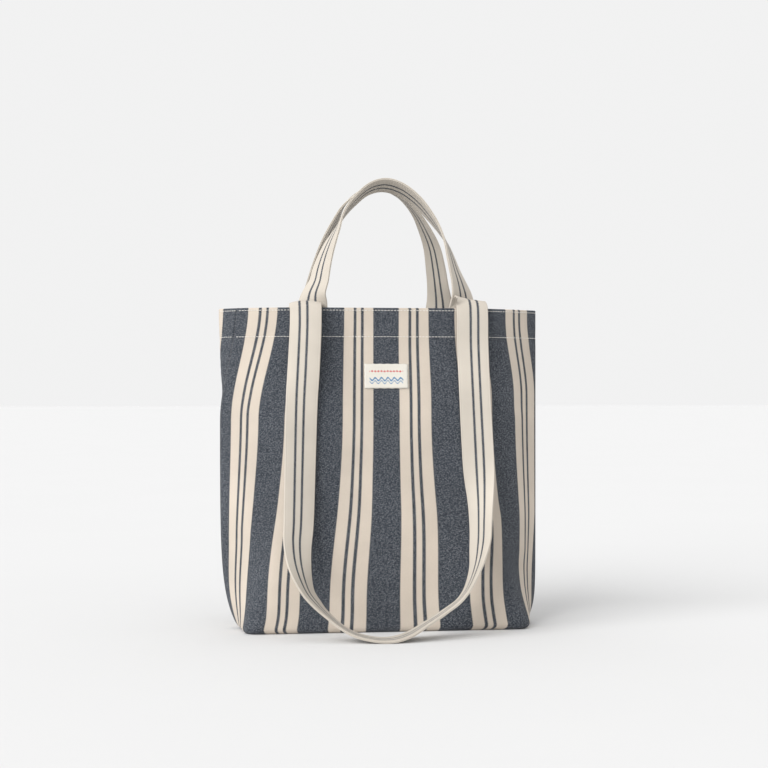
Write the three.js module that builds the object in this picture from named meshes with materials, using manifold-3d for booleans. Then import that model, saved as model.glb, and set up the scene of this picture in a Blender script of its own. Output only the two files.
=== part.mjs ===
// Canvas tote bag with boxed corners, two short handles and two long shoulder straps.
// Millimetres, +Z up. The origin is on the floor under the middle of the bag; -Y is the front.
import * as THREE from 'three';
import { mergeVertices } from 'three/addons/utils/BufferGeometryUtils.js';
import Module from 'manifold-3d';

const wasm = await Module();
wasm.setup();

// ---- Driving dimensions ------------------------------------------------------------------

const BAG_WIDTH = 373;
const BAG_HEIGHT = 370;
const BAG_DEPTH = 115;
const MOUTH_DEPTH = 104;
const BASE_NARROWING = 37;          // how much narrower the boxed base is than the mouth
const NARROWING_HEIGHT = 30;        // the narrowing fades out over about this height
const DRAW_IN_START = 250;          // above this the walls draw in from BAG_DEPTH to MOUTH_DEPTH
const BASE_FILLET = 8;
const BASE_CORNER_RADIUS = 14;
const MOUTH_CORNER_RADIUS = 46;
const CORNER_SOFTENING_HEIGHT = 50; // the corners go from base radius to mouth radius over about this
const WALL_HEIGHTS = [22, 34, 50, 72, 110, 180, 250, 271, 293, 315, 336];

const CANVAS = 1.2;
const HEM_DEPTH = 34;
const HEM_THICKNESS = 2.6;
const GAP = 0.3;
const SEAM_HALF_GAP = 0.15;

const BINDING_WIDTH = 10;
const BINDING_THICKNESS = 4;
const CORNER_BINDING_X = 150;
const CORNER_BINDING_HALF_LENGTH = 43;

const LABEL_WIDTH = 50;
const LABEL_HEIGHT = 28;
const LABEL_THICKNESS = 0.9;
const LABEL_CENTRE_HEIGHT = 292;
const LABEL_STITCH_INSET = 1.8;     // from the label's short edges
const THREAD = 0.6;
const EDGE_STITCH_DROP = 3;         // below the top edge
const HEM_STITCH_DROP = 33;

const BAND_THICKNESS = 2.6;         // folded canvas, several layers
const HANDLE_WIDTH = 34;
const HANDLE_HALF_SPACING = 85;
const HANDLE_STAND = 15;            // how far the sewn ends stand above the top edge
const BEND_GAP = 1;                 // room at the bend line for a handle to swing
const HANDLE_UPRIGHT = 4;           // straight stretch just above the bend line
const HANDLE_RISE = 125;            // from there to the middle of the arch
const HANDLE_LEAN = 27;             // how far the arch leans in over the mouth
const HANDLE_TILT = 17;             // degrees, how far the arch's outer edge drops at the top
const STRAP_WIDTH = 38;
const STRAP_TOP_X = 94;
const STRAP_LOOP_X = 103;           // where the legs are furthest apart
const STRAP_LOOP_HEIGHT = 125;      // below this the legs curve together
const STRAP_CLEARANCE = 1.2;        // between a hanging strap and the panel
const STRAP_REACH = 64;             // how far the bottom of the loop stands out from the bag
const STRAP_TWIST_START = 150;      // height where a leg starts to turn edge-on
const STRAP_TWIST_END = 20;
const FLOOR_CLEARANCE = 0.4;

const CORNER_STEPS = 5;
const FILLET_STEPS = 4;
const HANDLE_STEPS = 28;
const STRAP_LEG_STEPS = 8;
const STRAP_LOOP_STEPS = 24;
const FOLD_SIDES = 16;

// ---- Worked out from the driving dimensions ----------------------------------------------

const mouthFace = MOUTH_DEPTH / 2;
const strapEndOffset = mouthFace - HEM_THICKNESS - GAP - BAND_THICKNESS / 2;
const handleEndOffset = strapEndOffset - BAND_THICKNESS - GAP;
const strapLegOffset = mouthFace + STRAP_CLEARANCE + BAND_THICKNESS / 2;
const foldRadius = (strapLegOffset - strapEndOffset + BAND_THICKNESS) / 2;
const foldOffset = (strapLegOffset + strapEndOffset) / 2;
const foldHeight = BAG_HEIGHT + GAP + foldRadius;
const handleBendHeight = BAG_HEIGHT + HANDLE_STAND + BEND_GAP;
const loopBottom = FLOOR_CLEARANCE + BAND_THICKNESS / 2;

// ---- Materials ---------------------------------------------------------------------------

const stripedCanvas = () => new THREE.MeshStandardMaterial({ color: 0x5a6070, roughness: 0.92 });
const bandCanvas = () => new THREE.MeshStandardMaterial({ color: 0xe2dccf, roughness: 0.9 });
const cottonTape = () => new THREE.MeshStandardMaterial({ color: 0xd9d2c2, roughness: 0.95 });
const cottonThread = () => new THREE.MeshStandardMaterial({ color: 0xf1eee6, roughness: 0.8 });
const labelWeave = () => new THREE.MeshStandardMaterial({ color: 0xf2efe8, roughness: 0.7 });

// ---- Geometry helpers --------------------------------------------------------------------

// Turns the faces round if they point into the solid.
function facingOut(geometry) {
  const position = geometry.getAttribute('position');
  const index = geometry.getIndex();
  const corner = (k) => new THREE.Vector3().fromBufferAttribute(position, index.getX(k));
  let volume = 0;
  for (let k = 0; k < index.count; k += 3) {
    volume += corner(k).dot(corner(k + 1).cross(corner(k + 2)));
  }
  if (volume < 0) {
    index.array.reverse();
  }
  geometry.computeVertexNormals();
  return geometry;
}

// A closed solid through loops that have the same number of points, capped at both ends.
function loft(loops) {
  const count = loops[0].length;
  const index = [];
  for (let row = 0; row + 1 < loops.length; row += 1) {
    for (let i = 0; i < count; i += 1) {
      const a = row * count + i;
      const b = row * count + ((i + 1) % count);
      index.push(a, b, b + count, a, b + count, a + count);
    }
  }
  const last = (loops.length - 1) * count;
  for (let i = 1; i + 1 < count; i += 1) {
    index.push(0, i + 1, i, last, last + i, last + i + 1);
  }
  const geometry = new THREE.BufferGeometry();
  const positions = loops.flat().flatMap((point) => point.toArray());
  geometry.setAttribute('position', new THREE.Float32BufferAttribute(positions, 3));
  geometry.setIndex(index);
  return facingOut(geometry);
}

function toSolid(geometry) {
  const bare = geometry.clone();
  bare.deleteAttribute('normal');
  bare.deleteAttribute('uv');
  const merged = mergeVertices(bare, 1e-4);
  const vertProperties = new Float32Array(merged.getAttribute('position').array);
  const triVerts = new Uint32Array(merged.getIndex().array);
  return new wasm.Manifold(new wasm.Mesh({ numProp: 3, vertProperties, triVerts }));
}

function toGeometry(solid) {
  const { vertProperties, triVerts } = solid.getMesh();
  const geometry = new THREE.BufferGeometry();
  geometry.setAttribute('position', new THREE.Float32BufferAttribute(vertProperties, 3));
  geometry.setIndex([...triVerts]);
  geometry.computeVertexNormals();
  return geometry;
}

// A box from its low corner to its high corner.
function boxGeometry(low, high) {
  const size = high.map((value, axis) => value - low[axis]);
  const middle = high.map((value, axis) => (value + low[axis]) / 2);
  return new THREE.BoxGeometry(...size).translate(...middle);
}

const block = (low, high) => toSolid(boxGeometry(low, high));

// ---- The bag's outer form ----------------------------------------------------------------

const { lerp, smoothstep, degToRad } = THREE.MathUtils;

const halfWidthAt = (height) =>
  (BAG_WIDTH - BASE_NARROWING * Math.exp(-height / NARROWING_HEIGHT)) / 2;

const halfDepthAt = (height) =>
  lerp(BAG_DEPTH, MOUTH_DEPTH, smoothstep(height, DRAW_IN_START, BAG_HEIGHT - HEM_DEPTH)) / 2;

const cornerRadiusAt = (height) =>
  lerp(MOUTH_CORNER_RADIUS, BASE_CORNER_RADIUS, Math.exp(-height / CORNER_SOFTENING_HEIGHT));

// A rounded rectangle: the bag's outline at one height, shrunk by an inset.
function section(height, inset, placedAt = height) {
  const radius = Math.max(cornerRadiusAt(height) - inset, 1);
  const reachX = halfWidthAt(height) - inset - radius;
  const reachY = halfDepthAt(height) - inset - radius;
  const points = [];
  for (const [quarter, signX, signY] of [[0, 1, 1], [1, -1, 1], [2, -1, -1], [3, 1, -1]]) {
    for (let step = 0; step <= CORNER_STEPS; step += 1) {
      const angle = (quarter + step / CORNER_STEPS) * Math.PI / 2;
      const x = signX * reachX + radius * Math.cos(angle);
      const y = signY * reachY + radius * Math.sin(angle);
      points.push(new THREE.Vector3(x, y, placedAt));
    }
  }
  return points;
}

// The bag filled solid, shrunk by an inset, with a rounded lower edge.
function bagForm(inset, top) {
  const radius = Math.max(BASE_FILLET - inset, 1);
  const loops = [];
  for (let step = 0; step <= FILLET_STEPS; step += 1) {
    const angle = (step / FILLET_STEPS) * Math.PI / 2;
    const height = inset + radius * (1 - Math.cos(angle));
    loops.push(section(height, inset + radius * (1 - Math.sin(angle))));
  }
  for (const height of WALL_HEIGHTS) {
    loops.push(section(height, inset));
  }
  loops.push(section(BAG_HEIGHT, inset, top));
  return toSolid(loft(loops));
}

// A layer between two insets, cut to the space between two corners.
function layer(outerInset, innerInset, low, high) {
  const outer = bagForm(outerInset, BAG_HEIGHT);
  const inner = bagForm(innerInset, BAG_HEIGHT + CANVAS);
  return outer.subtract(inner).intersect(block(low, high));
}

const FAR = 400;

// ---- Panels: each is a wall, half of both sides and half of the base, with its turned hem --

function panel(side) {
  const hollow = bagForm(CANVAS, BAG_HEIGHT + CANVAS);
  const hemStart = BAG_HEIGHT - HEM_DEPTH;
  const hemHollow = bagForm(HEM_THICKNESS, BAG_HEIGHT + CANVAS);
  const belowHem = hollow.intersect(block([-FAR, -FAR, -1], [FAR, FAR, hemStart]));
  const shell = bagForm(0, BAG_HEIGHT).subtract(belowHem).subtract(hemHollow);
  const half = side < 0
    ? block([-FAR, -FAR, -1], [FAR, -SEAM_HALF_GAP, FAR])
    : block([-FAR, SEAM_HALF_GAP, -1], [FAR, FAR, FAR]);
  return toGeometry(shell.intersect(half));
}

// ---- Bindings over the raw seam edges inside ----------------------------------------------

const bindingOuter = CANVAS + GAP;
const bindingInner = bindingOuter + BINDING_WIDTH;
const halfBinding = BINDING_THICKNESS / 2;
const bindingTop = bindingInner + GAP;
const cornerBindingOuterX = CORNER_BINDING_X + BINDING_THICKNESS;

function sideBinding(side) {
  const low = [side < 0 ? -FAR : 0, -halfBinding, bindingTop];
  const high = [side < 0 ? 0 : FAR, halfBinding, BAG_HEIGHT - HEM_DEPTH - GAP];
  return toGeometry(layer(bindingOuter, bindingInner, low, high));
}

const baseBinding = () => boxGeometry(
  [-CORNER_BINDING_X + GAP, -halfBinding, bindingOuter],
  [CORNER_BINDING_X - GAP, halfBinding, bindingInner],
);

function cornerBinding(side) {
  const [near, far] = [side * CORNER_BINDING_X, side * cornerBindingOuterX];
  return boxGeometry(
    [Math.min(near, far), -CORNER_BINDING_HALF_LENGTH, bindingOuter],
    [Math.max(near, far), CORNER_BINDING_HALF_LENGTH, bindingInner],
  );
}

// ---- Label and stitching on the outside ----------------------------------------------------

function label() {
  const low = [-LABEL_WIDTH / 2, -FAR, LABEL_CENTRE_HEIGHT - LABEL_HEIGHT / 2];
  const high = [LABEL_WIDTH / 2, 0, LABEL_CENTRE_HEIGHT + LABEL_HEIGHT / 2];
  return toGeometry(layer(-GAP - LABEL_THICKNESS, -GAP, low, high));
}

function labelStitching(side) {
  const x = side * (LABEL_WIDTH / 2 - LABEL_STITCH_INSET);
  const halfHeight = LABEL_HEIGHT / 2 - LABEL_STITCH_INSET;
  const under = GAP + LABEL_THICKNESS + GAP;
  const low = [x - THREAD / 2, -FAR, LABEL_CENTRE_HEIGHT - halfHeight];
  const high = [x + THREAD / 2, 0, LABEL_CENTRE_HEIGHT + halfHeight];
  return toGeometry(layer(-under - THREAD, -under, low, high));
}

function stitchRow(drop) {
  const height = BAG_HEIGHT - drop;
  const low = [-FAR, -FAR, height - THREAD / 2];
  const high = [FAR, FAR, height + THREAD / 2];
  return toGeometry(layer(-GAP - THREAD, -GAP, low, high));
}

// ---- Bands: handles and straps --------------------------------------------------------------

// A flat band through stations, each a middle point and the direction of its outer edge.
function band(stations, width) {
  const loops = stations.map(({ middle, outward }, i) => {
    const before = stations[Math.max(i - 1, 0)].middle;
    const after = stations[Math.min(i + 1, stations.length - 1)].middle;
    const along = after.clone().sub(before).normalize();
    const across = outward.clone().addScaledVector(along, -outward.dot(along)).normalize();
    const normal = across.clone().cross(along);
    const corners = [[1, 1], [1, -1], [-1, -1], [-1, 1]];
    return corners.map(([u, v]) => middle.clone()
      .addScaledVector(across, u * width / 2)
      .addScaledVector(normal, v * BAND_THICKNESS / 2));
  });
  return loft(loops);
}

// The end of a band, sewn upright inside the hem.
function sewnEnd(side, x, offset, width, top) {
  const middle = side * offset;
  return boxGeometry(
    [x - width / 2, middle - BAND_THICKNESS / 2, BAG_HEIGHT - HEM_DEPTH + GAP],
    [x + width / 2, middle + BAND_THICKNESS / 2, top],
  );
}

// The arch of a short handle: it narrows upwards, leans in and turns edge-on at the top.
function handleArch(side) {
  const stations = [];
  for (let step = 0; step <= HANDLE_STEPS; step += 1) {
    const angle = (step / HANDLE_STEPS) * Math.PI;
    const rise = Math.sin(angle) ** (5 / 3);
    const turn = smoothstep(rise, 0, 1) * Math.PI / 2;
    const legSide = Math.sign(step - HANDLE_STEPS / 2);
    const tilt = degToRad(HANDLE_TILT) * smoothstep(rise, 0, 1);
    const middle = new THREE.Vector3(
      -HANDLE_HALF_SPACING * Math.cos(angle),
      side * (handleEndOffset - HANDLE_LEAN * rise),
      handleBendHeight + HANDLE_UPRIGHT + HANDLE_RISE * rise,
    );
    const outward = new THREE.Vector3(
      legSide * Math.cos(turn),
      -side * Math.sin(turn) * Math.cos(tilt),
      -Math.sin(tilt),
    );
    stations.push({ middle, outward });
  }
  const foot = ({ middle, outward }) => ({
    middle: middle.clone().setZ(handleBendHeight),
    outward,
  });
  return band([foot(stations[0]), ...stations, foot(stations[HANDLE_STEPS])], HANDLE_WIDTH);
}

// One point of a hanging strap, from its middle line's x and height.
function strapStation(side, x, height) {
  const drop = 1 - height / foldHeight;
  const wall = halfDepthAt(height) + STRAP_CLEARANCE + BAND_THICKNESS / 2;
  const turn = smoothstep(-height, -STRAP_TWIST_START, -STRAP_TWIST_END) * Math.PI / 2;
  return {
    middle: new THREE.Vector3(x, side * (wall + STRAP_REACH * drop ** 3), height),
    outward: new THREE.Vector3(Math.sign(x) * Math.cos(turn), side * Math.sin(turn), 0),
  };
}

// A long strap hanging from its fold over the top edge, with the loop's bottom on the floor.
function strapLoop(side) {
  const leg = [];
  for (let step = 0; step < STRAP_LEG_STEPS; step += 1) {
    const share = step / STRAP_LEG_STEPS;
    const x = lerp(STRAP_TOP_X, STRAP_LOOP_X, share);
    leg.push([x, lerp(foldHeight, STRAP_LOOP_HEIGHT, share)]);
  }
  const loop = [];
  for (let step = 0; step <= STRAP_LOOP_STEPS; step += 1) {
    const angle = (step / STRAP_LOOP_STEPS) * Math.PI;
    const height = STRAP_LOOP_HEIGHT - (STRAP_LOOP_HEIGHT - loopBottom) * Math.sin(angle);
    loop.push([-STRAP_LOOP_X * Math.cos(angle), height]);
  }
  const left = leg.map(([x, height]) => [-x, height]);
  const right = [...leg].reverse();
  const route = [...left, ...loop, ...right];
  const hanging = toSolid(band(route.map(([x, z]) => strapStation(side, x, z)), STRAP_WIDTH));
  return toGeometry([-1, 1].reduce((solid, end) => solid.add(strapFold(side, end)), hanging));
}

// The rolled fold at the top of a strap leg, where it swings about the bag's top edge.
function strapFold(side, end) {
  const roll = new THREE.CylinderGeometry(foldRadius, foldRadius, STRAP_WIDTH, FOLD_SIDES);
  roll.rotateZ(Math.PI / 2);
  roll.translate(end * STRAP_TOP_X, side * foldOffset, foldHeight);
  return toSolid(roll);
}

// ---- Assembly --------------------------------------------------------------------------------

const group = new THREE.Group();

function add(name, geometry, material) {
  const mesh = new THREE.Mesh(geometry, material);
  mesh.name = name;
  group.add(mesh);
}

for (const [face, side] of [['front', -1], ['back', 1]]) {
  add(`${face}_panel`, panel(side), stripedCanvas());
  add(`${face}_short_handle`, handleArch(side), bandCanvas());
  add(`${face}_long_strap`, strapLoop(side), bandCanvas());
  for (const [hand, end] of [['left', -1], ['right', 1]]) {
    const handleX = end * HANDLE_HALF_SPACING;
    const strapX = end * STRAP_TOP_X;
    const handleTop = BAG_HEIGHT + HANDLE_STAND;
    const handleEnd = sewnEnd(side, handleX, handleEndOffset, HANDLE_WIDTH, handleTop);
    const strapEnd = sewnEnd(side, strapX, strapEndOffset, STRAP_WIDTH, BAG_HEIGHT);
    add(`${face}_handle_end_${hand}`, handleEnd, bandCanvas());
    add(`${face}_strap_end_${hand}`, strapEnd, bandCanvas());
  }
}

for (const [hand, side] of [['left', -1], ['right', 1]]) {
  add(`side_binding_${hand}`, sideBinding(side), cottonTape());
  add(`corner_binding_${hand}`, cornerBinding(side), cottonTape());
  add(`label_stitching_${hand}`, labelStitching(side), cottonThread());
}

add('base_binding', baseBinding(), cottonTape());
add('woven_label', label(), labelWeave());
add('edge_stitching', stitchRow(EDGE_STITCH_DROP), cottonThread());
add('hem_stitching', stitchRow(HEM_STITCH_DROP), cottonThread());

export default group;
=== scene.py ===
import math

import bmesh
import bpy
import numpy as np
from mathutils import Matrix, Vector


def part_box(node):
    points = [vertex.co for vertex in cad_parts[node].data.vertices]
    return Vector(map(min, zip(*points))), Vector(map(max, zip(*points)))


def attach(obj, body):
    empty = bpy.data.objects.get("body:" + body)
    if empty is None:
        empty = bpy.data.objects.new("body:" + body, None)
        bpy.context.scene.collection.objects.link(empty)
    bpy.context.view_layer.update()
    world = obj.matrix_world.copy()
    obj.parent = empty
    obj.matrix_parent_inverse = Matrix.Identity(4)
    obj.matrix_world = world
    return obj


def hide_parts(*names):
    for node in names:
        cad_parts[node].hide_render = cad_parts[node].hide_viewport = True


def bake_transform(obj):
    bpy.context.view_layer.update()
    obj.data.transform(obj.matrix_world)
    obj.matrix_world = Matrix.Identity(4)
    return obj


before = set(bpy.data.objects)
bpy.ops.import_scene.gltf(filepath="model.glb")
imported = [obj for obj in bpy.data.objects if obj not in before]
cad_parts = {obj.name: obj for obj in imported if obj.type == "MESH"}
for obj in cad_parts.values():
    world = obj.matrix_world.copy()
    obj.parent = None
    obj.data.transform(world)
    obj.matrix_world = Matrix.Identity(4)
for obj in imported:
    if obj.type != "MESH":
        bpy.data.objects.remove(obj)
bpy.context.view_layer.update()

# Looks of the striped canvas tote bag. Metres, +Z up, the front faces -Y. Lists of points and
# folds are in millimetres, and say so.

# ---- Sizes ---------------------------------------------------------------------------------

PANEL_LOW, PANEL_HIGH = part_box("front_panel")
HALF_WIDTH = PANEL_HIGH.x
HEIGHT = PANEL_HIGH.z
HALF_DEPTH = -PANEL_LOW.y
MOUTH_HALF_DEPTH = 0.052
DRAW_IN_START = 0.25
SIDE_BEVEL = 0.0665            # how far the front's flat part stops short of the side seam
BASE_CORNER = 0.014
WALL_CORNER = 0.045
SOFTENING_HEIGHT = 0.050
BASE_FILLET = 0.008
CANVAS = 0.0011
SEAM_GAP = CANVAS / 2 + 0.0002
HEM_DEPTH = 0.034
SEAM_ALLOWANCE = 0.009
EDGE_STITCH_DROP = 0.003
HEM_STITCH_DROP = 0.033

STRIPE_PERIOD = 0.070
PERIODS_TO_SEAM = 2.98
CELL = 0.003                   # mesh cell on the canvas
HALF_ROUND = 0.208             # from the middle of a panel round to its side seam
BAND = 0.0026                  # a strap's or handle's thickness
BAND_STEP = 0.0025             # along a band, from one section to the next
EDGE_UV = 0.0245               # where the bands' pattern has the navy thread of their edges
STRAP_WIDTH, STRAP_LENGTH, STRAP_LINE_SHIFT = 0.0365, 0.98, 0.0020
HANDLE_WIDTH, HANDLE_LENGTH, HANDLE_LINE_SHIFT = 0.034, 0.43, 0.0010
MM = 0.001

# ---- Small helpers ---------------------------------------------------------------------------


def smoothstep(low, high, value):
    share = np.clip((np.asarray(value, float) - low) / (high - low), 0, 1)
    return share * share * (3 - 2 * share)


def unit(vectors):
    return vectors / np.maximum(np.linalg.norm(vectors, axis=-1, keepdims=True), 1e-12)


def distances(points):
    """How far along the line through points each of them is."""
    return np.concatenate([[0], np.cumsum(np.linalg.norm(np.diff(points, axis=0), axis=1))])


def resample(points, count):
    """The same open line through points, as count points evenly spaced along it."""
    length = distances(points)
    at = np.linspace(0, length[-1], count)
    return np.stack([np.interp(at, length, column) for column in points.T], axis=1)


def quads(index, uv):
    """Faces and their corners' UVs from a grid of vertex numbers and a grid of UVs."""
    corners = [(slice(None, -1), slice(None, -1)), (slice(None, -1), slice(1, None)),
               (slice(1, None), slice(1, None)), (slice(1, None), slice(None, -1))]
    faces = np.stack([index[c] for c in corners], axis=-1).reshape(-1, 4)
    uvs = np.stack([uv[c] for c in corners], axis=2).reshape(-1, 2)
    return faces, uvs


def mesh_object(name, points, patches, material, caps=()):
    """An object from points and patches, each a grid of vertex numbers with a grid of UVs."""
    parts = [quads(index, uv) for index, uv in patches]
    faces = np.concatenate([faces for faces, _ in parts]).tolist()
    uvs = np.concatenate([uvs for _, uvs in parts])
    for cap, cap_uv in caps:
        faces.append([int(i) for i in cap])
        uvs = np.concatenate([uvs, cap_uv])
    mesh = bpy.data.meshes.new(name)
    mesh.from_pydata(points.tolist(), [], faces)
    layer = mesh.uv_layers.new(name="cloth")
    layer.data.foreach_set("uv", uvs.astype(np.float32).ravel())
    mesh.shade_smooth()
    mesh.materials.append(material)
    obj = bpy.data.objects.new(name, mesh)
    bpy.context.scene.collection.objects.link(obj)
    return obj


def face_outwards(obj):
    edit = bmesh.new()
    edit.from_mesh(obj.data)
    bmesh.ops.recalc_face_normals(edit, faces=edit.faces)
    edit.to_mesh(obj.data)
    edit.free()


def apply_modifiers(obj):
    graph = bpy.context.evaluated_depsgraph_get()
    final = bpy.data.meshes.new_from_object(obj.evaluated_get(graph), depsgraph=graph)
    obj.modifiers.clear()
    obj.data = final


# ---- Material helpers --------------------------------------------------------------------------


class Shader:
    """A node material with one Principled shader, and short ways to add nodes to it."""

    def __init__(self, name, roughness, sheen=0.0):
        self.material = bpy.data.materials.new(name)
        self.material.use_nodes = True
        self.tree = self.material.node_tree
        self.bsdf = self.tree.nodes["Principled BSDF"]
        self.bsdf.inputs["Roughness"].default_value = roughness
        self.bsdf.inputs["Specular IOR Level"].default_value = 0.25
        self.bsdf.inputs["Sheen Weight"].default_value = sheen
        self.bsdf.inputs["Sheen Roughness"].default_value = 0.45

    def node(self, kind, **settings):
        node = self.tree.nodes.new(kind)
        for key, value in settings.items():
            setattr(node, key, value)
        return node

    def plug(self, socket, value):
        if isinstance(value, bpy.types.NodeSocket):
            self.tree.links.new(value, socket)
        else:
            socket.default_value = value

    def math(self, operation, *values):
        node = self.node("ShaderNodeMath", operation=operation)
        for socket, value in zip(node.inputs, values):
            self.plug(socket, value)
        return node.outputs[0]

    def ramp(self, value, low, high, to_low=0.0, to_high=1.0):
        node = self.node("ShaderNodeMapRange", interpolation_type="SMOOTHSTEP")
        for socket, entry in zip(node.inputs, (value, low, high, to_low, to_high)):
            self.plug(socket, entry)
        return node.outputs[0]

    def mix(self, share, first, second, blend="MIX"):
        node = self.node("ShaderNodeMix", data_type="RGBA", blend_type=blend)
        self.plug(node.inputs[0], share)
        self.plug(node.inputs[6], first)
        self.plug(node.inputs[7], second)
        return node.outputs[2]

    def cloth_uv(self):
        node = self.node("ShaderNodeUVMap", uv_map="cloth")
        split = self.node("ShaderNodeSeparateXYZ")
        self.tree.links.new(node.outputs[0], split.inputs[0])
        return node.outputs[0], split.outputs[0], split.outputs[1]

    def vector(self, x, y, z=0.0):
        node = self.node("ShaderNodeCombineXYZ")
        for socket, value in zip(node.inputs, (x, y, z)):
            self.plug(socket, value)
        return node.outputs[0]

    def noise(self, vector, scale, detail=2.0, roughness=0.5):
        node = self.node("ShaderNodeTexNoise")
        self.plug(node.inputs["Vector"], vector)
        node.inputs["Scale"].default_value = scale
        node.inputs["Detail"].default_value = detail
        node.inputs["Roughness"].default_value = roughness
        return node.outputs[0]

    def random(self, vector):
        node = self.node("ShaderNodeTexWhiteNoise", noise_dimensions="2D")
        self.plug(node.inputs["Vector"], vector)
        return node.outputs["Value"]

    def bump(self, height, distance, strength=1.0):
        node = self.node("ShaderNodeBump")
        node.inputs["Strength"].default_value = strength
        node.inputs["Distance"].default_value = distance
        self.plug(node.inputs["Height"], height)
        self.tree.links.new(node.outputs[0], self.bsdf.inputs["Normal"])

    def colour(self, value):
        self.plug(self.bsdf.inputs["Base Color"], value)


CREAM = (0.625, 0.548, 0.466, 1)
CREAM_SHADE = (0.533, 0.467, 0.387, 1)
PALE = (0.53, 0.489, 0.431, 1)
NAVY = (0.0255, 0.031, 0.042, 1)
FLECK = (0.24, 0.255, 0.275, 1)

WARP = 0.00085                 # thread pitch across
WEFT = 0.00100                 # thread pitch along


def weave(shader, across, along):
    """Which thread lies on top, how high the cloth stands, and a number for each crossing."""
    column = shader.math("FLOOR", shader.math("DIVIDE", across, WARP))
    row = shader.math("FLOOR", shader.math("DIVIDE", along, WEFT))
    parity = shader.math("FLOORED_MODULO", shader.math("ADD", column, row), 2.0)
    x = shader.math("SUBTRACT", shader.math("FRACT", shader.math("DIVIDE", across, WARP)), 0.5)
    y = shader.math("SUBTRACT", shader.math("FRACT", shader.math("DIVIDE", along, WEFT)), 0.5)
    reach = shader.math("ADD", shader.math("MULTIPLY", x, x), shader.math("MULTIPLY", y, y))
    crown = shader.ramp(reach, 0.32, 0.02)
    number = shader.random(shader.vector(column, row))
    return parity, crown, number


def canvas_cloth(shader, across, along, mask, cream, relief):
    """Yarn colours and relief: a dark warp crossed by pale weft, or cream on cream."""
    parity, crown, number = weave(shader, across, along)
    uv = shader.vector(across, along)
    slub = shader.noise(shader.vector(across, shader.math("MULTIPLY", along, 2.6)), 420.0, 3.0, 0.7)
    cloud = shader.noise(uv, 11.0, 4.0)
    strength = shader.math("MULTIPLY", crown, shader.ramp(number, 0.25, 1.0))
    spot = shader.math("MULTIPLY", parity, strength)
    fleck = shader.math("ADD", shader.math("MULTIPLY", spot, 0.85),
                        shader.ramp(slub, 0.44, 0.78, 0.0, 0.72))
    navy = shader.mix(fleck, NAVY, FLECK)
    shade = shader.math("ADD", shader.math("MULTIPLY", number, 0.16),
                        shader.ramp(slub, 0.35, 0.75, 0.30, 0.0))
    body = shader.mix(mask, shader.mix(shade, cream, CREAM_SHADE), navy)
    light = shader.ramp(cloud, 0.25, 0.8, 0.90, 1.08)
    body = shader.mix(1.0, body, shader.vector(light, light, light), "MULTIPLY")
    shader.colour(body)
    shader.bump(shader.math("ADD", crown, shader.math("MULTIPLY", slub, 0.9)), relief)


def sawtooth(shader, along):
    """The small steps that woven stripe edges have, one for each pair of weft threads."""
    return shader.math("SUBTRACT", shader.math("PINGPONG", along, WEFT), WEFT / 2)


def line_mask(shader, place, centre, half_width, soft):
    away = shader.math("ABSOLUTE", shader.math("SUBTRACT", place, centre))
    return shader.ramp(away, half_width + soft, half_width - soft)


def canvas_material():
    """Wide navy bands on cream, with two thin lines in the middle of each cream band."""
    shader = Shader("striped_canvas", roughness=0.93, sheen=0.10)
    _, across, along = shader.cloth_uv()
    pattern = shader.math("DIVIDE", shader.math("ADD", across, sawtooth(shader, along)), STRIPE_PERIOD)
    away = shader.math("PINGPONG", pattern, 0.5)
    band = line_mask(shader, away, 0.0, 0.233, 0.002)
    line = line_mask(shader, away, 0.5 - 0.067, 0.0255, 0.002)
    canvas_cloth(shader, across, along, shader.math("MAXIMUM", band, line), CREAM, 0.00023)
    return shader.material


def band_material():
    """Cream webbing with two navy lines along its middle and a navy thread in its edges."""
    shader = Shader("band_canvas", roughness=0.9, sheen=0.10)
    _, across, along = shader.cloth_uv()
    place = shader.math("ABSOLUTE", shader.math("ADD", across, sawtooth(shader, along)))
    line = line_mask(shader, place, 0.0044, 0.0014, 0.00012)
    edge = shader.ramp(place, EDGE_UV - 0.0019, EDGE_UV - 0.0014)
    canvas_cloth(shader, across, along, shader.math("MAXIMUM", line, edge), PALE, 0.00008)
    return shader.material


def thread_material():
    shader = Shader("cotton_thread", roughness=0.75, sheen=0.2)
    _, across, along = shader.cloth_uv()
    ply = shader.math("SINE", shader.math("MULTIPLY", shader.math("ADD", across, along), 9000.0))
    shader.colour(shader.mix(shader.ramp(ply, -1.0, 1.0), (0.66, 0.63, 0.57, 1), (0.86, 0.84, 0.80, 1)))
    shader.bump(ply, 0.0001)
    return shader.material


def tape_material():
    """Cream herringbone tape."""
    shader = Shader("cotton_tape", roughness=0.85, sheen=0.15)
    _, across, along = shader.cloth_uv()
    zigzag = shader.math("PINGPONG", across, 0.0016)
    twill = shader.math("SINE", shader.math("MULTIPLY", shader.math("ADD", along, zigzag), 6500.0))
    shader.colour(shader.mix(shader.ramp(twill, -1.0, 1.0), CREAM_SHADE, PALE))
    shader.bump(twill, 0.00015)
    return shader.material


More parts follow.
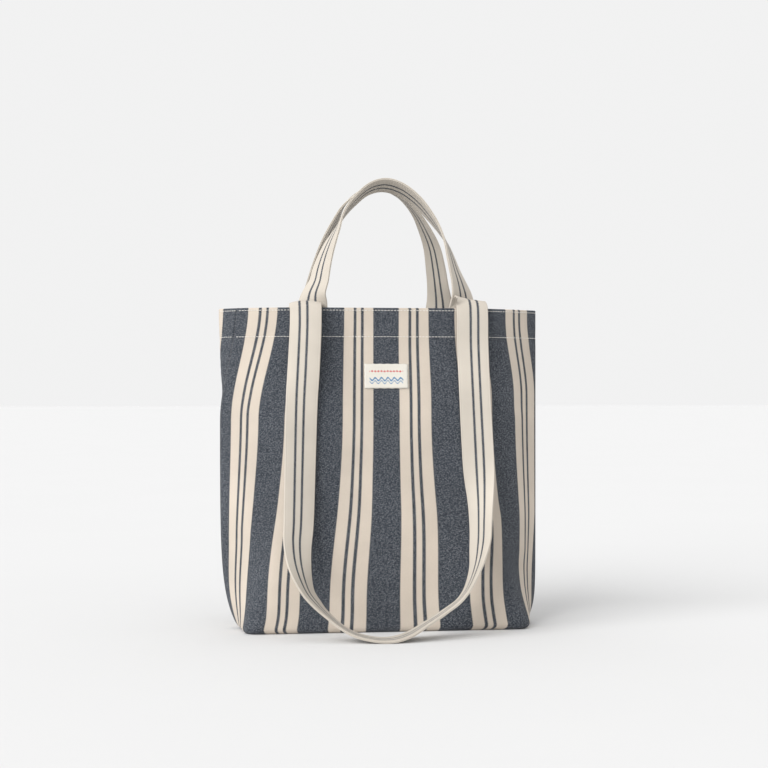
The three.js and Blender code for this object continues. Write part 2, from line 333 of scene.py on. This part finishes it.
def label_material():
    """Off-white woven label: a blue wave between thin border lines, with red diamonds above."""
    shader = Shader("label_weave", roughness=0.7, sheen=0.15)
    _, x, y = shader.cloth_uv()
    wave = shader.math("MULTIPLY", shader.math("SINE", shader.math("MULTIPLY", x, 860.0)), 0.0016)
    place = shader.math("ADD", y, 0.0035)
    from_wave = shader.math("SUBTRACT", place, wave)
    blue = shader.math("MAXIMUM", line_mask(shader, from_wave, 0.0, 0.0009, 0.0002),
                       line_mask(shader, from_wave, -0.0034, 0.0005, 0.0002))
    column = shader.math("SUBTRACT", shader.math("PINGPONG", x, 0.0036), 0.0018)
    away = shader.math("ADD", shader.math("ABSOLUTE", column),
                       shader.math("ABSOLUTE", shader.math("SUBTRACT", y, 0.0055)))
    red = shader.ramp(away, 0.0015, 0.0012)
    inside = shader.ramp(shader.math("ABSOLUTE", x), 0.0195, 0.0191)
    ribs = shader.math("SINE", shader.math("MULTIPLY", y, 11000.0))
    ground = shader.mix(shader.ramp(ribs, -1.0, 1.0), (0.74, 0.70, 0.62, 1), (0.86, 0.83, 0.76, 1))
    body = shader.mix(shader.math("MULTIPLY", blue, inside), ground, (0.02, 0.20, 0.42, 1))
    shader.colour(shader.mix(shader.math("MULTIPLY", red, inside), body, (0.62, 0.06, 0.06, 1)))
    shader.bump(ribs, 0.00012)
    return shader.material


# ---- The bag's surface ---------------------------------------------------------------------------


def rounded(corners, reaches):
    """An open line through corners, each inner one rounded off from its reach on either side."""
    corners = np.array(corners, float)
    share = np.linspace(0, 1, 16)[:, None]
    parts = [corners[:1]]
    for before, corner, after, reach in zip(corners, corners[1:], corners[2:], reaches):
        start = corner + unit(before - corner) * reach
        end = corner + unit(after - corner) * reach
        parts.append((1 - share) ** 2 * start + 2 * share * (1 - share) * corner + share ** 2 * end)
    return np.concatenate(parts + [corners[-1:]])


# How far each end draws in at the floor, and how quickly that fades with height.
FOOT = {-1: (0.022, 0.036), 1: (0.016, 0.014)}
# At the mouth the left seam lies towards the middle and the front, and the back panel goes out
# past it and round a corner of its own.
LEFT_SEAM_IN, LEFT_SEAM_FORWARD = 0.0175, 0.019
LEFT_BULGE, LEFT_CORNER_Y, LEFT_CORNER_REACH = 0.0045, -0.006, 0.009


def lean(height):
    """How far the left seam has moved to its place at the mouth, from 0 to 1."""
    return float(smoothstep(0.24, 0.372, height))


def half_outline(side, height, inset):
    """One panel's outline at a height, from the left seam to the right; its own side is -y."""
    fade = math.exp(-max(height, 0) / SOFTENING_HEIGHT)
    towards_mouth = float(smoothstep(DRAW_IN_START, HEIGHT - HEM_DEPTH, height))
    depth = HALF_DEPTH + (MOUTH_HALF_DEPTH - HALF_DEPTH) * towards_mouth
    reach = WALL_CORNER + (BASE_CORNER - WALL_CORNER) * fade
    halves = []
    for end in (-1, 1):
        narrowing, drop = FOOT[end]
        width = HALF_WIDTH - narrowing * math.exp(-max(height, 0) / drop)
        corner = np.array([width - SIDE_BEVEL * (1 - fade) - inset * 0.8, -depth + inset])
        seam = np.array([width - inset, -SEAM_GAP])
        corners, reaches = [[0, -depth + inset], corner, seam], [reach]
        if end < 0:
            shift = lean(height)
            corners[2] = seam + shift * np.array([-LEFT_SEAM_IN, side * LEFT_SEAM_FORWARD])
            if side > 0:
                full = float(smoothstep(0.18, 0.30, height))
                low = 0.7 * seam + 0.3 * corner
                high = np.array([width - inset + LEFT_BULGE * shift, LEFT_CORNER_Y])
                corners.insert(2, (1 - full) * low + full * high)
                reaches.append(LEFT_CORNER_REACH)
        halves.append(resample(rounded(corners, reaches) * [end, 1], COLUMNS + 1))
    return np.concatenate([halves[0][:0:-1], halves[1]])


# Soft folds in the canvas: from and to (distance round from the middle, height), width and
# how far they stand out, in millimetres.
FRONT_FOLDS = [
    (-160, 8, -115, 120, 15, 2.2), (158, 8, 120, 120, 15, 2.0), (-60, 330, -38, 190, 20, -1.8),
    (62, 335, 38, 210, 20, 1.3), (-128, 300, -140, 130, 15, -2.4), (128, 330, 142, 150, 15, -2.0),
    (5, 25, -6, 120, 26, 1.6), (-45, 50, -72, 150, 18, -1.8), (45, 40, 78, 150, 18, -1.6),
    (-165, 250, -172, 120, 12, 1.0), (170, 240, 176, 90, 12, 1.8), (20, 330, -14, 250, 16, -0.9),
]
BACK_FOLDS = [
    (-150, 8, -112, 105, 16, 1.8), (160, 8, 118, 130, 15, 2.2), (-52, 320, -30, 170, 22, 1.4),
    (58, 325, 30, 200, 20, -1.7), (-126, 320, -142, 140, 16, -2.0), (130, 300, 138, 120, 16, -2.2),
    (-8, 20, 10, 135, 24, -1.5), (70, 60, 50, 160, 20, 1.2), (-75, 60, -48, 150, 18, -1.3),
]


# The hem stitches pull the canvas into small waves.
PUCKER, PUCKER_LENGTH, PUCKER_REACH = 0.00035, 0.0085, 0.006


def standing_out(side, around, height):
    """How far the canvas stands out from its plain shape, around and height being arrays."""
    total = np.zeros(np.broadcast(around, height).shape)
    for x0, z0, x1, z1, width, rise in (FRONT_FOLDS if side < 0 else BACK_FOLDS):
        start, along = np.array([x0, z0]) * MM, np.array([x1 - x0, z1 - z0]) * MM
        dx, dz = around - start[0], height - start[1]
        share = np.clip((dx * along[0] + dz * along[1]) / (along ** 2).sum(), 0, 1)
        away = (dx - share * along[0]) ** 2 + (dz - share * along[1]) ** 2
        total += rise * MM * np.exp(-away / (width * MM) ** 2)
    from_row = (height - (HEIGHT - HEM_STITCH_DROP)) / PUCKER_REACH
    total += PUCKER * np.sin(around / PUCKER_LENGTH + 1.7 * side) * np.exp(-from_row ** 2)
    return total * smoothstep(0.001, 0.03, height)


def pattern_across(share, height):
    """Position in the stripe pattern, as a length, at a share of the way to the seam. The stripes
    aren't straight: each line here moves them by a few tenths of a period at some heights."""
    left = lean(height) * (share < 0)
    spread = 0.84 + 0.21 * smoothstep(0.04, 0.25, height) - 0.11 * left
    periods = PERIODS_TO_SEAM * (spread * share + (1 - spread) * share ** 3)
    bunched = smoothstep(0.42, 0.60, -share) * (1 - smoothstep(0.75, 1.05, -share))
    periods -= 0.19 * left * bunched
    waist = smoothstep(0.03, 0.14, height) * (1 - smoothstep(0.27, 0.36, height))
    periods -= 0.18 * waist * smoothstep(0.1, 0.8, share)
    periods += 0.07 * (1 - smoothstep(0.03, 0.10, height)) * smoothstep(0.6, 1.0, -share)
    periods += 0.05 * (1 - smoothstep(0.03, 0.15, height)) * (1 - share ** 2)
    return periods * STRIPE_PERIOD


COLUMNS = 70
SAMPLES = 2 * COLUMNS + 1
SHARE = np.linspace(-1, 1, SAMPLES)
FILLET_STEPS, FOLD_STEPS, HEM_STEPS = 5, 4, 11
FOLD_RADIUS = CANVAS / 2 + 0.0001


def wall_rows():
    """(height, inset) of each row of the wall, from the base up to the inner foot of the hem."""
    rows = []
    radius = BASE_FILLET
    for step in range(FILLET_STEPS + 1):
        angle = step / FILLET_STEPS * math.pi / 2
        rows.append((CANVAS / 2 + (radius - CANVAS / 2) * (1 - math.cos(angle)),
                     CANVAS / 2 + (radius - CANVAS / 2) * (1 - math.sin(angle))))
    top = HEIGHT - CANVAS / 2 - FOLD_RADIUS
    for height in np.linspace(radius, top, round((top - radius) / CELL) + 1)[1:]:
        rows.append((height, CANVAS / 2))
    for step in range(1, FOLD_STEPS + 1):
        angle = step / FOLD_STEPS * math.pi
        rows.append((top + FOLD_RADIUS * math.sin(angle),
                     CANVAS / 2 + FOLD_RADIUS * (1 - math.cos(angle))))
    for height in np.linspace(top, HEIGHT - HEM_DEPTH, HEM_STEPS + 1)[1:]:
        rows.append((height, CANVAS / 2 + 2 * FOLD_RADIUS))
    return rows


def wall_line(side, height, inset, lift=0.0):
    """Points of one row of a panel's wall, stood off outwards by lift."""
    line = half_outline(side, height, inset)
    tangent = unit(np.gradient(line, axis=0))
    outward = np.stack([tangent[:, 1], -tangent[:, 0]], axis=1)
    rise = standing_out(side, SHARE * HALF_ROUND, np.full(SAMPLES, height)) + lift
    line = line + outward * rise[:, None]
    return np.stack([line[:, 0], -side * line[:, 1], np.full(SAMPLES, height)], axis=1)


def panel_geometry(side):
    """Points and patches of one panel: wall with hem, half base and the turned seam edges."""
    rows = wall_rows()
    points = []
    wall = np.zeros((len(rows), SAMPLES), int)
    uv = np.zeros((len(rows), SAMPLES, 2))
    along = 0.0
    for r, (height, inset) in enumerate(rows):
        if r:
            along += math.hypot(height - rows[r - 1][0], inset - rows[r - 1][1])
        wall[r] = len(points) + np.arange(SAMPLES)
        uv[r, :, 0] = pattern_across(SHARE, height)
        uv[r, :, 1] = along
        points.extend(wall_line(side, height, inset).tolist())
    patches = [(wall, uv)]
    patches.append(base_patch(side, points, wall[0], uv[0]))
    patches.extend(seam_patches(points, wall, uv, rows, patches[1]))
    return np.array(points), patches


def base_patch(side, points, edge, edge_uv):
    """Half the base, filled in between the wall's lowest row and the seam along the middle."""
    line = np.array([points[i] for i in edge])
    corner = int(np.argmax(side * line[: SAMPLES // 2, 1] - line[: SAMPLES // 2, 0]))
    front = edge[corner: SAMPLES - corner]
    index = np.zeros((corner + 1, len(front)), int)
    uv = np.zeros((corner + 1, len(front), 2))
    index[0] = front
    across = np.linspace(0, 1, len(front))[:, None]
    front_line = line[corner: SAMPLES - corner]
    front_chord = front_line[0] * (1 - across) + front_line[-1] * across
    for j in range(corner + 1):
        left, right = corner - j, SAMPLES - 1 - corner + j
        uv[j, :, 0] = edge_uv[corner: SAMPLES - corner, 0]
        uv[j, :, 1] = edge_uv[0, 1] - abs(line[left, 1] - line[corner, 1])
        if not j:
            continue
        chord = line[left] * (1 - across) + line[right] * across
        row = chord + (1 - j / corner) * (front_line - front_chord)
        index[j, 0], index[j, -1] = edge[left], edge[right]
        index[j, 1:-1] = len(points) + np.arange(len(front) - 2)
        points.extend(row[1:-1].tolist())
    return index, uv


# The turned edges rise a little where they round the base, and stay clear of the sides.
FILLET_EDGE_LIFT, BASE_EDGE_TAPER = 0.6, 0.985


def seam_patches(points, wall, uv, rows, base):
    """The panel's edges, turned in along both side seams and along the middle of the base."""
    steps = [0.0006, 0.0022, 0.005, SEAM_ALLOWANCE]
    outer = rows[:-(FOLD_STEPS + HEM_STEPS)]
    top = max(r for r, (height, _) in enumerate(outer) if height < HEIGHT - HEM_DEPTH)
    patches = []
    for column, inward in ((0, 1), (-1, -1)):
        index = np.zeros((top + 1, len(steps) + 1), int)
        seam_uv = np.zeros((top + 1, len(steps) + 1, 2))
        index[:, 0] = wall[: top + 1, column]
        seam_uv[:, 0] = uv[: top + 1, column]
        for r in range(top + 1):
            start = points[wall[r, column]]
            for k, step in enumerate(steps):
                index[r, k + 1] = len(points)
                lift = 0.0 if r > FILLET_STEPS else FILLET_EDGE_LIFT * step
                points.append([start[0] + inward * step, start[1], start[2] + lift])
                seam_uv[r, k + 1] = uv[r, column] - [inward * -step, 0]
        patches.append((index, seam_uv))
    base_index, base_uv = base
    index = np.zeros((len(steps) + 1, base_index.shape[1]), int)
    seam_uv = np.zeros((len(steps) + 1, base_index.shape[1], 2))
    index[0], seam_uv[0] = base_index[-1], base_uv[-1]
    for k, step in enumerate(steps):
        for i, start in enumerate(base_index[-1]):
            x, y, z = points[start]
            index[k + 1, i] = len(points)
            points.append([x * BASE_EDGE_TAPER, y, z + step])
        seam_uv[k + 1] = base_uv[-1] - [0, step]
    patches.append((index, seam_uv))
    return patches


def canvas_panel(name, side, material):
    points, patches = panel_geometry(side)
    obj = mesh_object(name, points, patches, material)
    face_outwards(obj)
    thick = obj.modifiers.new("thickness", "SOLIDIFY")
    thick.thickness = CANVAS
    thick.offset = 0
    apply_modifiers(obj)
    return obj


# ---- Bands: handles and straps --------------------------------------------------------------------


def spline(controls, spacing):
    """Points on a smooth curve through the rows of controls, evenly spaced along its first three
    columns. It is a centripetal Catmull-Rom curve, so it doesn't loop where points lie close."""
    controls = np.array(controls, float)
    before, after = 2 * controls[0] - controls[1], 2 * controls[-1] - controls[-2]
    padded = np.concatenate([[before], controls, [after]])
    dense = []
    for a, b, c, d in zip(padded, padded[1:], padded[2:], padded[3:]):
        chords = [np.linalg.norm((q - p)[:3]) for p, q in ((a, b), (b, c), (c, d))]
        k0, k1, k2, k3 = np.cumsum([0] + [max(chord, 1e-9) ** 0.5 for chord in chords])
        t = np.linspace(k1, k2, 24, endpoint=False)[:, None]

        def between(low, high, first, last):
            return (high - t) / (high - low) * first + (t - low) / (high - low) * last

        ab, bc, cd = between(k0, k1, a, b), between(k1, k2, b, c), between(k2, k3, c, d)
        dense.append(between(k1, k2, between(k0, k2, ab, bc), between(k1, k3, bc, cd)))
    dense = np.concatenate(dense + [controls[-1:]])
    length = distances(dense[:, :3])
    at = np.linspace(0, length[-1], max(int(length[-1] / spacing), 8) + 1)
    return np.stack([np.interp(at, length, column) for column in dense.T], axis=1)


def band_profile(width):
    """Half of a two-layer band's section, as (across, height above the middle, UV across)."""
    half, crown = width / 2, BAND / 2
    middle = [(share * half, crown * (1 - 0.10 * share ** 6)) for share in (0, 0.2, 0.4, 0.6, 0.75)]
    # Distance from the edge and share of the height: a stitched groove, then the rounded edge.
    edge = [(0.0026, 0.90), (0.0020, 0.80), (0.0014, 0.92), (0.0006, 0.86), (0.0001, 0.55),
            (0.0002, 0.22), (0.0008, 0.0)]
    return middle + [(half - inwards, crown * share) for inwards, share in edge]


def band_mesh(name, middle, outward, bow, width, line_shift, material):
    """A band of two layers along middle. outward points to its outer edge, bow lifts both edges,
    and line_shift is how far the pattern sits from the middle towards the outer edge."""
    count = len(middle)
    along = unit(np.gradient(middle, axis=0))
    across = unit(outward - (outward * along).sum(1, keepdims=True) * along)
    normal = np.cross(across, along)
    quarter = band_profile(width)
    left_top = [(-x, h) for x, h in quarter[:0:-1]]
    upper = left_top + quarter
    lower = [(x, -h) for x, h in upper[-2:0:-1]]
    ring = np.array(upper + lower)
    ring_uv = np.array([x - line_shift if h else math.copysign(EDGE_UV, x) for x, h in ring])
    rise = ring[None, :, 1] + bow[:, None] * (ring[None, :, 0] / (width / 2)) ** 2
    points = middle[:, None] + ring[None, :, 0, None] * across[:, None] + rise[..., None] * normal[:, None]
    length = distances(middle)
    size = len(ring)
    index = np.arange(count * size).reshape(count, size)
    index = np.concatenate([index, index[:, :1]], axis=1)
    uv = np.zeros((count, size + 1, 2))
    uv[:, :size, 0] = ring_uv
    uv[:, size, 0] = ring_uv[0]
    uv[:, :, 1] = length[:, None]
    caps = [(index[0, :size][::-1], uv[0, :size][::-1]), (index[-1, :size], uv[-1, :size])]
    obj = mesh_object(name, points.reshape(-1, 3), [(index, uv)], material, caps)
    face_outwards(obj)
    return obj


# The middle line of each band in millimetres, as x, y, height, turn, tilt and, on some, bow.
# turn is how many degrees the band's outer edge has swung away from the bag's middle plane,
# forwards on the front strap and over the mouth on the handles; tilt is how far that edge drops,
# and bow is how far both edges stand up from the band's middle. The strap goes from its left
# sewn end over the top edge, down, round the loop on the floor and up again.
FRONT_STRAP = [
    (-91, -46.9, 337, -7, 0, 1.1), (-91, -46.9, 355, -7, 0, 1.1), (-91, -46.9, 366, -7, 0, 1.0),
    (-91.8, -47.8, 373.4, -6, 0, -0.4), (-92.6, -51.6, 376.4, -8, 0, -3.0),
    (-93, -56.4, 375.6, -11, 0, -3.1),
    (-93, -60.4, 370.8, -14, 0, -2.2), (-93, -62.2, 361, -16, 0, -1.8), (-93.2, -62.7, 345, -15, 0, -1.4),
    (-95.2, -63, 300, -8, 0, -0.8), (-97.3, -64, 265, 4, 0, -0.3), (-99.4, -66.5, 196, 12, 0),
    (-101.7, -73, 128, 19, 0),
    (-104, -83, 102, 30, 0), (-102.4, -94, 78, 44, 0), (-94.8, -103, 53.6, 64, 0),
    (-86.3, -108, 41.7, 70, 0), (-75.4, -112, 30, 78, 0), (-50.6, -119, 10.8, 84, 0),
    (-25.9, -123, 2.9, 88, 0),
    (-3, -124.5, 1.9, 90, 0), (15, -122.5, 6.5, 92, 0), (36, -118, 17.5, 95, 0), (57.6, -113, 30, 97, 0),
    (76, -107, 42.5, 97, 0), (86.5, -102, 55, 92, 0), (98, -92, 79, 80, 0), (104, -81, 103, 63, 0),
    (106, -74, 128, 57, 0), (106.6, -69, 152, 47, 0), (105, -64, 196, 16, 0), (102.2, -60, 262, 0, 0),
    (99.8, -57.0, 330, 0, 2), (99.4, -57.8, 362, 0, 5, -0.5), (99, -57.0, 373, 0, 8, -1.5),
    (98, -54.0, 378.4, 0, 10, -2.5), (96, -50.4, 379.0, -1, 9, -2.3), (93.6, -47.6, 374.8, -4, 6, -0.5),
    (91.6, -46.6, 366, -8, 2, 0.9), (91, -46.6, 355, -8, 0, 1.2), (91, -46.6, 337, -8, 0, 1.2),
]

FRONT_HANDLE = [
    (-83, -43.9, 337, 7, 0), (-83, -43.9, 360, 7, 0), (-83, -43.6, 374, 18, 0), (-81.5, -43.2, 386, 42, 0),
    (-76, -42, 400, 55, 0), (-72.5, -39.5, 415, 60, 0), (-67.5, -36.5, 431, 67, 0), (-61, -33, 447, 75, 0),
    (-55, -30.5, 459, 84, 0),
    (-44.5, -26.5, 480, 98, 4), (-31, -22.5, 496, 98, 12), (-14.5, -19, 509.5, 94, 18),
    (3, -18, 514, 90, 20), (22.5, -19.5, 508.5, 89, 20), (41.5, -23.5, 494, 88, 18),
    (57, -28.5, 475, 87, 10), (67.5, -32.5, 458, 82, 3),
    (73.5, -35.5, 444, 73, 0), (77.5, -38, 430, 66, 0), (81.5, -40.5, 415, 60, 0), (86, -43, 400, 51, 0),
    (89.5, -44.2, 384, 36, 0), (89.5, -43.4, 362, 9, 0), (89, -43.4, 337, 7.5, 0),
]

BACK_HANDLE = [
    (-75, 44.6, 337, 5, 0), (-75, 44.6, 360, 7, 0), (-74, 44.9, 384, 30, 0), (-71.5, 42.5, 400, 44, 0),
    (-66.5, 38.5, 424, 54, 0), (-59, 33, 450, 62, 0), (-50, 28, 473, 72, 0), (-39.5, 23.5, 494, 82, 4),
    (-22, 20.2, 508.5, 88, 8), (0, 18.5, 513.5, 90, 8), (26, 20.2, 505, 88, 8), (45.5, 23.5, 487, 84, 4),
    (58, 28, 467, 76, 0), (67.5, 33, 446, 66, 0), (73, 38.5, 422, 58, 0), (76.5, 42.5, 400, 52, 0),
    (78.5, 44.9, 384, 40, 0), (78.5, 44.6, 360, 7, 0), (78.5, 44.6, 337, 5, 0),
]


BACK_STRAP_TOP = 374.5         # the back strap's left leg lies closer over the top edge


def mirrored(route):
    """The back strap's route, from the front one's."""
    return [(x, -y, min(z, BACK_STRAP_TOP) if x < 0 else z, *rest) for x, y, z, *rest in route]


def band(name, route, swing, width, line_shift, material):
    """A strap or handle along its route; swing is the y direction that its outer edge turns to."""
    scale = (MM, MM, MM, 1, 1, MM)
    rows = [[value * unit_size for value, unit_size in zip((*row, 0), scale)] for row in route]
    line = spline(rows, BAND_STEP)
    turn, tilt = np.radians(line[:, 3]), np.radians(line[:, 4])
    sign = np.tanh(line[:, 0] / 0.02)
    outward = np.stack([sign * np.cos(turn), swing * np.sin(turn) * np.cos(tilt), -np.sin(tilt)], axis=1)
    return band_mesh(name, line[:, :3], outward, -swing * line[:, 5], width, line_shift, material)


# ---- Thread, tape and label ------------------------------------------------------------------------

DASH_LENGTH, DASH_PITCH, DASH_RADIUS = 0.0028, 0.0037, 0.00042


def stitches(name, rows, material):
    """Stitches along rows of points, each one a short thread that dips in at both ends."""
    angle = np.arange(6) / 6 * 2 * math.pi
    profile = [(-0.5, 0.25), (-0.40, 0.8), (-0.15, 1.0), (0.15, 1.0), (0.40, 0.8), (0.5, 0.25)]
    points, patches, caps, first = [], [], [], 0
    for row in rows:
        length = distances(row)
        for start in np.arange(DASH_PITCH, length[-1] - DASH_PITCH, DASH_PITCH):
            ends = [np.array([np.interp(at, length, c) for c in row.T])
                    for at in (start, start + DASH_LENGTH)]
            middle, along = (ends[0] + ends[1]) / 2, unit(ends[1] - ends[0])
            across = unit(np.cross(along, [0, 0, 1] if abs(along[2]) < 0.9 else [1, 0, 0]))
            up = np.cross(along, across)
            for share, size in profile:
                ring = np.outer(np.cos(angle), across) + np.outer(np.sin(angle), up)
                points.extend(middle + along * share * DASH_LENGTH + ring * DASH_RADIUS * size)
            index = first + np.arange(len(profile) * 6).reshape(-1, 6)
            around = np.arange(7) * 0.0004
            uv = np.stack(np.meshgrid(around, np.linspace(0, DASH_LENGTH, len(profile))), axis=-1)
            patches.append((np.concatenate([index, index[:, :1]], axis=1), uv))
            caps.extend([(index[0][::-1], uv[0, :6]), (index[-1], uv[-1, :6])])
            first += index.size
    obj = mesh_object(name, np.array(points), patches, material, caps)
    face_outwards(obj)
    return obj


def tape(name, path, inward, width, thickness, material):
    """Binding tape folded over a seam: a rounded strip along path, as deep as width inward."""
    half_w, half_t = width / 2, thickness / 2
    ring = [(-1, 0.55), (-0.9, 0.92), (-0.6, 1), (0.3, 0.86), (0.8, 0.9), (0.96, 0.6)]
    ring = np.array(ring + [(u, -v) for u, v in ring[::-1]]) * [half_w, half_t]
    along = unit(np.gradient(path, axis=0))
    side = unit(np.cross(along, inward))
    depth, across = ring[None, :, 0, None], ring[None, :, 1, None]
    points = path[:, None] + depth * inward[:, None] + across * side[:, None]
    length = distances(path)
    around = distances(np.concatenate([ring, ring[:1]]))
    size = len(ring)
    index = np.arange(len(path) * size).reshape(-1, size)
    uv = np.stack(np.meshgrid(around, length), axis=-1)
    caps = [(index[0][::-1], uv[0, :size][::-1]), (index[-1], uv[-1, :size])]
    index = np.concatenate([index, index[:, :1]], axis=1)
    obj = mesh_object(name, points.reshape(-1, 3), [(index, uv)], material, caps)
    face_outwards(obj)
    return obj


def straight(start, end, count):
    return np.linspace(np.array(start, float), np.array(end, float), count)


def on_front(x, height):
    """Points on the front panel's outer face."""
    points = []
    for one_x, one_height in zip(np.ravel(x), np.ravel(height)):
        line = wall_line(-1, one_height, CANVAS / 2, CANVAS / 2)
        points.append((one_x, np.interp(one_x, line[:, 0], line[:, 1]), one_height))
    return np.array(points)


LABEL_LOW, LABEL_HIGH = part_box("woven_label")


def label_mesh(material):
    """The label, sewn down at its short edges and a little loose along its long ones."""
    x = np.linspace(LABEL_LOW.x, LABEL_HIGH.x, 27)
    z = np.linspace(LABEL_LOW.z, LABEL_HIGH.z, 15)
    across, up = np.meshgrid(x, z)
    middle = (LABEL_LOW + LABEL_HIGH) / 2
    u, v = (across - middle.x) / (x[-1] - middle.x), (up - middle.z) / (z[-1] - middle.z)
    lift = 0.0006 + 0.0005 * (1 - u ** 4) * (0.4 + 0.6 * v ** 2)
    seat = on_front(across, up).reshape(*across.shape, 3)
    seat[..., 1] -= lift
    seat[..., 0] += 0.00025 * np.sin(up * 900.0)
    seat[..., 2] += 0.0002 * np.sin(across * 700.0)
    uv = np.stack([across - middle.x, up - middle.z], axis=-1)
    index = np.arange(across.size).reshape(across.shape)
    obj = mesh_object("label_cloth", seat.reshape(-1, 3), [(index, uv)], material)
    thick = obj.modifiers.new("thickness", "SOLIDIFY")
    thick.thickness = 0.0008
    thick.offset = 0
    apply_modifiers(obj)
    return obj


# ---- Build -------------------------------------------------------------------------------------------

# Where each band turns from its sewn end to its swinging part: over a short way outwards from
# the middle on the straps, upwards on the handles.
STRAP_FOLD, STRAP_FOLD_HEIGHT = (0.0492, 0.0532), 0.375
HANDLE_FOLD, HANDLE_FOLD_Y = (0.380, 0.393), 0.0449

canvas = canvas_material()
bands = band_material()
thread = thread_material()
tape_cloth = tape_material()

for face, side in (("front", -1), ("back", 1)):
    panel = canvas_panel(f"{face}_canvas", side, canvas)
    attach(panel, "bag")
    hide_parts(f"{face}_panel")

    route = FRONT_STRAP if side < 0 else mirrored(FRONT_STRAP)
    piece = band(f"{face}_strap_band", route, side, STRAP_WIDTH, STRAP_LINE_SHIFT, bands)
    start, end = ((0, side * y, STRAP_FOLD_HEIGHT) for y in STRAP_FOLD)
    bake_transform(piece)
    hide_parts(f"{face}_long_strap", f"{face}_strap_end_left", f"{face}_strap_end_right")

    route = FRONT_HANDLE if side < 0 else BACK_HANDLE
    piece = band(f"{face}_handle_band", route, -side, HANDLE_WIDTH, HANDLE_LINE_SHIFT, bands)
    start, end = ((0, side * HANDLE_FOLD_Y, height) for height in HANDLE_FOLD)
    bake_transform(piece)
    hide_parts(f"{face}_short_handle", f"{face}_handle_end_left", f"{face}_handle_end_right")


def hem_rows(height):
    """The closed lines round the hem's outer and inner faces at one height."""
    rows = []
    for inset, lift in ((CANVAS / 2, CANVAS / 2), (CANVAS / 2 + 2 * FOLD_RADIUS, -CANVAS / 2)):
        front, back = (wall_line(side, height, inset, lift) for side in (-1, 1))
        rows.append(np.concatenate([front, back[::-1], front[:1]]))
    return rows


for name, node, height in (("edge_stitches", "edge_stitching", HEIGHT - EDGE_STITCH_DROP),
                           ("hem_stitches", "hem_stitching", HEIGHT - HEM_STITCH_DROP)):
    piece = stitches(name, hem_rows(height), thread)
    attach(piece, "bag")
    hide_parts(node)

LABEL_STITCH_OUT = 0.0011      # the thread lies on the label
SIDE_TAPE_WIDTH, SIDE_TAPE_THICKNESS, SIDE_TAPE_IN = 0.0085, 0.0040, 0.0065

label = label_mesh(label_material())
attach(label, "bag")
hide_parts("woven_label")

for hand in ("left", "right"):
    low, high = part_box(f"label_stitching_{hand}")
    heights = np.linspace(low.z, high.z, 9)
    row = on_front(np.full(9, (low.x + high.x) / 2), heights) - [0, LABEL_STITCH_OUT, 0]
    piece = stitches(f"label_stitches_{hand}", [row], thread)
    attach(piece, "bag")
    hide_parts(f"label_stitching_{hand}")

    end = -1 if hand == "left" else 1
    low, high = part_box(f"side_binding_{hand}")
    edge = 0 if end < 0 else -1
    seam = np.array([wall_line(-1, z, CANVAS / 2)[edge] for z in np.linspace(low.z, high.z, 90)])
    inward = np.tile([-end, 0.0, 0.0], (len(seam), 1))
    path = seam + inward * SIDE_TAPE_IN + [0, SEAM_GAP, 0]
    piece = tape(f"side_tape_{hand}", path, inward, SIDE_TAPE_WIDTH, SIDE_TAPE_THICKNESS, tape_cloth)
    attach(piece, "bag")
    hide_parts(f"side_binding_{hand}")

    low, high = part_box(f"corner_binding_{hand}")
    middle = (low + high) / 2
    path = straight((middle.x, low.y, middle.z), (middle.x, high.y, middle.z), 30)
    inward = np.tile([0.0, 0.0, 1.0], (len(path), 1))
    piece = tape(f"corner_tape_{hand}", path, inward, high.z - low.z, high.x - low.x, tape_cloth)
    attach(piece, "bag")
    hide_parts(f"corner_binding_{hand}")

low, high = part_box("base_binding")
path = straight((low.x, 0, (low.z + high.z) / 2), (high.x, 0, (low.z + high.z) / 2), 90)
inward = np.tile([0.0, 0.0, 1.0], (len(path), 1))
piece = tape("base_tape", path, inward, high.z - low.z, high.y - low.y, tape_cloth)
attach(piece, "bag")
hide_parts("base_binding")

# ---- Stage, light and camera ---------------------------------------------------------------------------

FLOOR_SIZE = 40.0


def stage():
    mesh = bpy.data.meshes.new("floor")
    half = FLOOR_SIZE / 2
    corners = [(-half, -half, 0), (half, -half, 0), (half, half, 0), (-half, half, 0)]
    mesh.from_pydata(corners, [], [(0, 1, 2, 3)])
    floor = bpy.data.objects.new("floor", mesh)
    bpy.context.scene.collection.objects.link(floor)
    shader = Shader("floor_paper", roughness=0.95)
    place = shader.node("ShaderNodeTexCoord")
    grain = shader.noise(place.outputs["Object"], 3.0, 2.0)
    dark, light = (0.678, 0.678, 0.678, 1), (0.682, 0.682, 0.682, 1)
    shader.colour(shader.mix(shader.ramp(grain, 0.3, 0.7), dark, light))
    mesh.materials.append(shader.material)


def light_and_camera():
    scene = bpy.context.scene
    scene.view_settings.view_transform = "Standard"
    world = bpy.data.worlds.new("studio")
    world.use_nodes = True
    background = world.node_tree.nodes["Background"]
    background.inputs["Color"].default_value = (0.885, 0.885, 0.885, 1)
    background.inputs["Strength"].default_value = 1.0
    scene.world = world
    sun = bpy.data.lights.new("key", "SUN")
    sun.energy = 2.9
    sun.angle = math.radians(48)
    lamp = bpy.data.objects.new("key", sun)
    lamp.rotation_euler = Vector((1.0, 0.85, -0.75)).to_track_quat("-Z", "Y").to_euler()
    scene.collection.objects.link(lamp)

    view = bpy.data.cameras.new("camera")
    view.lens = 80
    view.sensor_width = 36
    camera = bpy.data.objects.new("camera", view)
    azimuth = math.radians(-8)
    aim = Vector((0.0051, 0, 0.283))
    distance = 2.0
    camera.location = aim + distance * Vector((math.sin(azimuth), -math.cos(azimuth), 0))
    camera.rotation_euler = (math.pi / 2, 0, azimuth)
    scene.collection.objects.link(camera)
    scene.camera = camera


stage()
light_and_camera()
